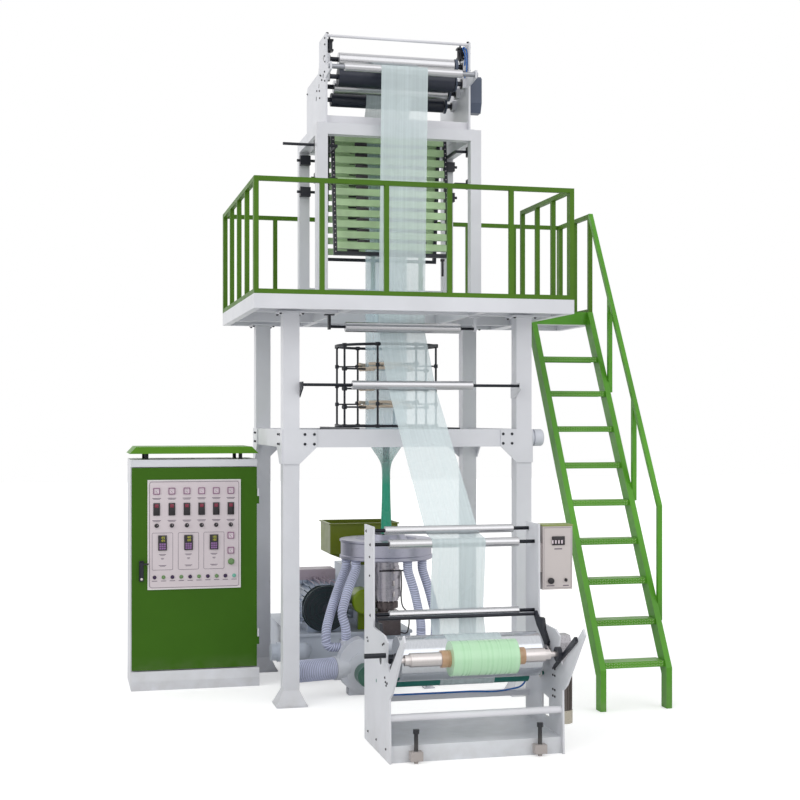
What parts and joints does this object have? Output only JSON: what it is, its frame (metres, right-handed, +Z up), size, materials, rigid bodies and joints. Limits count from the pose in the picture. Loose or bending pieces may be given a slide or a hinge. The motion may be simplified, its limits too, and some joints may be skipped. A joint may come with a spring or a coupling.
{
  "type": "blown film extrusion line",
  "caption": "Blown film line: extruder and die under a tower with platform and stair, collapsing frames and haul-off rollers on top, surface winder in front, control cabinet beside.",
  "frame": {"origin": "centre of the bounding box's footprint, on the floor", "axes": "+X to the right as an operator faces the winder and the control cabinet, +Y from the winder towards the extruder at the back, +Z up"},
  "size_m": [3.173, 3.557, 4.185],
  "materials": {
    "white_paint": "satin",
    "rail_green": "satin",
    "stair_green": "gloss",
    "door_green": "satin",
    "black_paint": "satin",
    "chrome": "mirror polished",
    "steel": "brushed",
    "aluminium": "turned",
    "black_rubber": "matt",
    "teal_rubber": "matt",
    "wood": "turned, bare",
    "slat": "satin",
    "film": "translucent",
    "roll": "wound film",
    "maroon": "gloss",
    "hose": "ribbed",
    "grey_paint": "satin",
    "motor_grey": "satin",
    "guard_green": "gloss",
    "hopper_green": "gloss",
    "panel": "printed"
  },
  "bodies": {
    "frame": {"air_blower": "grey_paint", "air_hoses": "hose", "air_ring": "aluminium", "bubble_cage": "black_paint", "bubble_mandrel": "maroon", "cabinet_body": "white_paint", "cabinet_hood": "door_green", "cage_lift_motor": "grey_paint", "cage_rollers": "wood", "collapsing_adjusters": "black_paint", "collapsing_frames": "black_paint", "collapsing_slats": "slat", "columns": "white_paint", "coupling_guard": "guard_green", "die_head": "steel", "drive_motor": "motor_grey", "extruder_base": "grey_paint", "extruder_drive": "grey_paint", "feed_hopper": "hopper_green", "film_bubble": "film", "film_web": "film", "guide_roller_brackets": "white_paint", "head_cross_bars": "white_paint", "head_cylinders": "black_paint", "head_gearmotor": "motor_grey", "head_side_plates": "white_paint", "mid_beams": "white_paint", "platform_deck": "white_paint", "railing_back": "rail_green", "railing_front": "rail_green", "railing_left": "rail_green", "railing_right": "rail_green", "stair_handrail": "stair_green", "stair_strings": "stair_green", "stair_treads": "stair_green", "upper_beams": "white_paint", "upper_posts": "white_paint", "winder_arms": "black_paint", "winder_base": "white_paint", "winder_control_box": "panel", "winder_cross_bars": "white_paint", "winder_motor": "steel", "winder_side_plates": "white_paint"},
    "head_press_roller_body": {"head_press_roller": "chrome"},
    "head_rubber_roller_body": {"head_rubber_roller": "black_rubber"},
    "head_steel_roller_body": {"head_steel_roller": "chrome"},
    "head_guide_roller_body": {"head_guide_roller": "black_rubber"},
    "head_front_roller_body": {"head_front_roller": "chrome"},
    "guide_roller_upper_body": {"guide_roller_upper": "chrome"},
    "guide_roller_lower_body": {"guide_roller_lower": "chrome"},
    "winder_roller_top_body": {"winder_roller_top": "chrome"},
    "winder_roller_second_body": {"winder_roller_second": "chrome"},
    "winder_roller_low_body": {"winder_roller_low": "chrome"},
    "winder_rubber_roller_body": {"winder_rubber_roller": "teal_rubber"},
    "winder_drum_body": {"winder_drum": "chrome"},
    "reel": {"winding_shaft": "aluminium", "film_roll": "roll"},
    "door": {"cabinet_door": "door_green", "instrument_panel": "panel", "door_handle": "black_paint"}
  },
  "joints": [
    {"name": "head_press_roller_spin", "type": "hinge", "parent": "frame", "child": "head_press_roller_body", "pos_m": [0.0815, 0.4015, 4.024], "axis": [1, 0, 0], "continuous": true},
    {"name": "head_rubber_roller_spin", "type": "hinge", "parent": "frame", "child": "head_rubber_roller_body", "pos_m": [0.0815, 0.4115, 3.917], "axis": [1, 0, 0], "continuous": true},
    {"name": "head_steel_roller_spin", "type": "hinge", "parent": "frame", "child": "head_steel_roller_body", "pos_m": [0.0815, 0.5615, 3.887], "axis": [1, 0, 0], "continuous": true},
    {"name": "head_guide_roller_spin", "type": "hinge", "parent": "frame", "child": "head_guide_roller_body", "pos_m": [0.0815, 0.6565, 3.825], "axis": [1, 0, 0], "continuous": true},
    {"name": "head_front_roller_spin", "type": "hinge", "parent": "frame", "child": "head_front_roller_body", "pos_m": [0.0815, 0.1965, 3.927], "axis": [1, 0, 0], "continuous": true},
    {"name": "guide_roller_upper_spin", "type": "hinge", "parent": "frame", "child": "guide_roller_upper_body", "pos_m": [0.0815, 0.2225, 2.312], "axis": [1, 0, 0], "continuous": true},
    {"name": "guide_roller_lower_spin", "type": "hinge", "parent": "frame", "child": "guide_roller_lower_body", "pos_m": [0.0815, -0.0335, 1.944], "axis": [1, 0, 0], "continuous": true},
    {"name": "winder_roller_top_spin", "type": "hinge", "parent": "frame", "child": "winder_roller_top_body", "pos_m": [0.0815, -0.9255, 1.132], "axis": [1, 0, 0], "continuous": true},
    {"name": "winder_roller_second_spin", "type": "hinge", "parent": "frame", "child": "winder_roller_second_body", "pos_m": [0.0815, -1.0245, 1.066], "axis": [1, 0, 0], "continuous": true},
    {"name": "winder_roller_low_spin", "type": "hinge", "parent": "frame", "child": "winder_roller_low_body", "pos_m": [0.0815, -1.0245, 0.689], "axis": [1, 0, 0], "continuous": true},
    {"name": "winder_rubber_roller_spin", "type": "hinge", "parent": "frame", "child": "winder_rubber_roller_body", "pos_m": [0.0815, -1.17142, 0.36847], "axis": [1, 0, 0], "continuous": true},
    {"name": "winder_drum_spin", "type": "hinge", "parent": "frame", "child": "winder_drum_body", "pos_m": [0.0815, -1.2695, 0.494], "axis": [1, 0, 0], "continuous": true},
    {"name": "reel_spin", "type": "hinge", "parent": "frame", "child": "reel", "pos_m": [0.0815, -1.47604, 0.521], "axis": [1, 0, 0], "continuous": true},
    {"name": "door_swing", "type": "hinge", "parent": "frame", "child": "door", "pos_m": [-0.7615, 0.7495, 0.7], "axis": [0, 0, 1], "range_deg": [0, 85]}
  ],
  "couplings": [
    {"joint": "head_rubber_roller_spin", "follows": "head_press_roller_spin", "ratio": -0.75},
    {"joint": "winder_rubber_roller_spin", "follows": "winder_drum_spin", "ratio": -2.925},
    {"joint": "reel_spin", "follows": "winder_drum_spin", "ratio": -1.3146}
  ]
}
